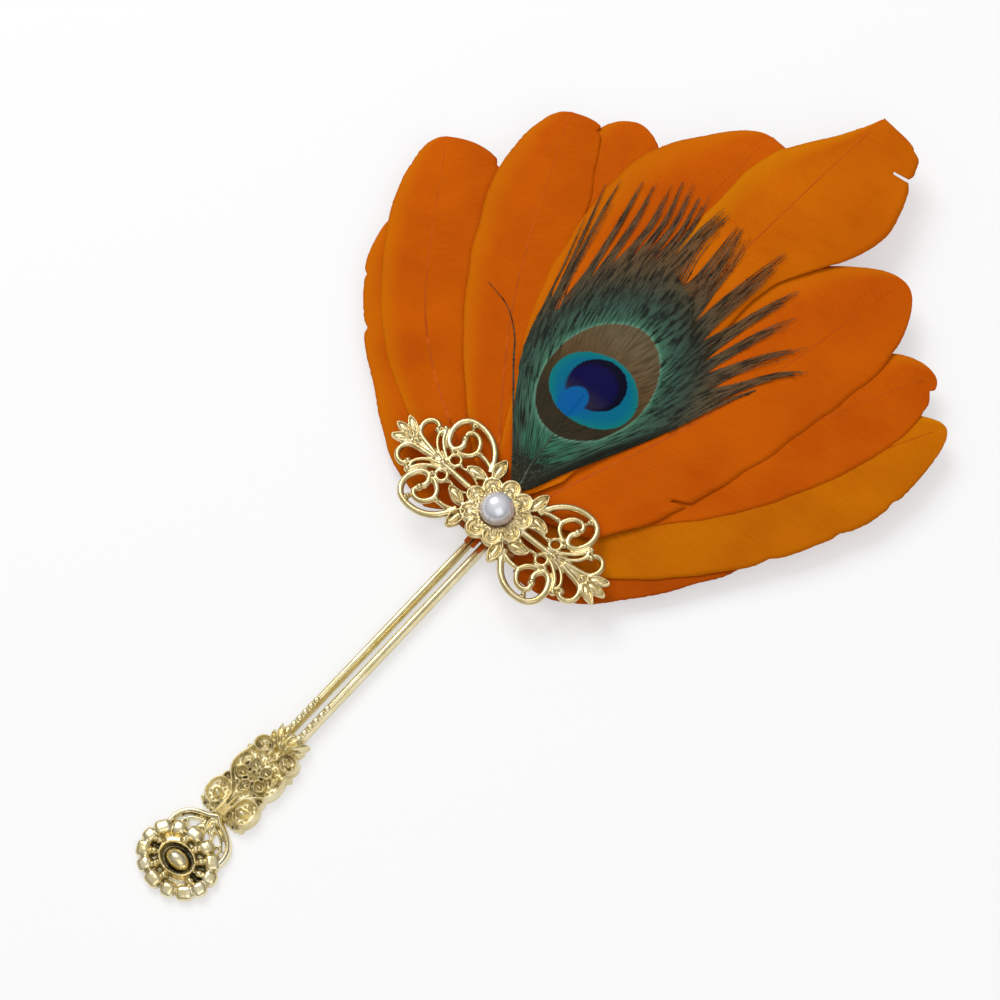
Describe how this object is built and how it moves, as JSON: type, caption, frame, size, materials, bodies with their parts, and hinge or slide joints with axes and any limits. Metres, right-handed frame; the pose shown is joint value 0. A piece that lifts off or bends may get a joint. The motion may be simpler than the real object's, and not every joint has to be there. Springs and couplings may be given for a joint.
{
  "type": "feather hand fan",
  "caption": "Rigid hand fan of dyed feathers and a peacock eye feather, held by an openwork gold plate with a pearl, on a slim gold handle with a rosette end.",
  "frame": {"origin": "centre of the flat back of the felt pad, under the pearl", "axes": "+Y from the pearl towards the feathers' tips, along the handle; +Z out of the front, the pearl's side; +X to the right as seen from the front"},
  "size_m": [0.1851, 0.3195, 0.0173],
  "materials": {
    "felt": "orange wool felt",
    "glue": "cured amber glue",
    "handle_gold": "pale gold plate on cast brass",
    "antique_gold": "pale gold plate with dark recesses",
    "filigree_gold": "pale gold plate on pierced sheet, polished",
    "feather_orange": "goose feather dyed orange, soft sheen",
    "feather_light_orange": "goose feather dyed light orange, soft sheen",
    "feather_dark_orange": "goose feather dyed burnt orange, soft sheen",
    "peacock": "natural peacock eye feather, iridescent",
    "pearl": "imitation pearl"
  },
  "bodies": {
    "root": {"back_pad": "felt", "glue_bed": "glue", "rail_left": "handle_gold", "rail_right": "handle_gold", "leaf_collar": "handle_gold", "openwork_grip": "antique_gold", "arch_frame": "handle_gold", "rosette": "handle_gold", "feather_left_low": "feather_orange", "feather_left_high": "feather_orange", "feather_right_short": "feather_dark_orange", "feather_right_low": "feather_light_orange", "feather_right_split": "feather_orange", "feather_back_left": "feather_orange", "feather_upper_left": "feather_orange", "feather_right_broad": "feather_orange", "feather_top_broad": "feather_orange", "feather_top_long": "feather_light_orange", "peacock_feather": "peacock", "filigree_plate": "filigree_gold", "pearl": "pearl"}
  },
  "joints": []
}
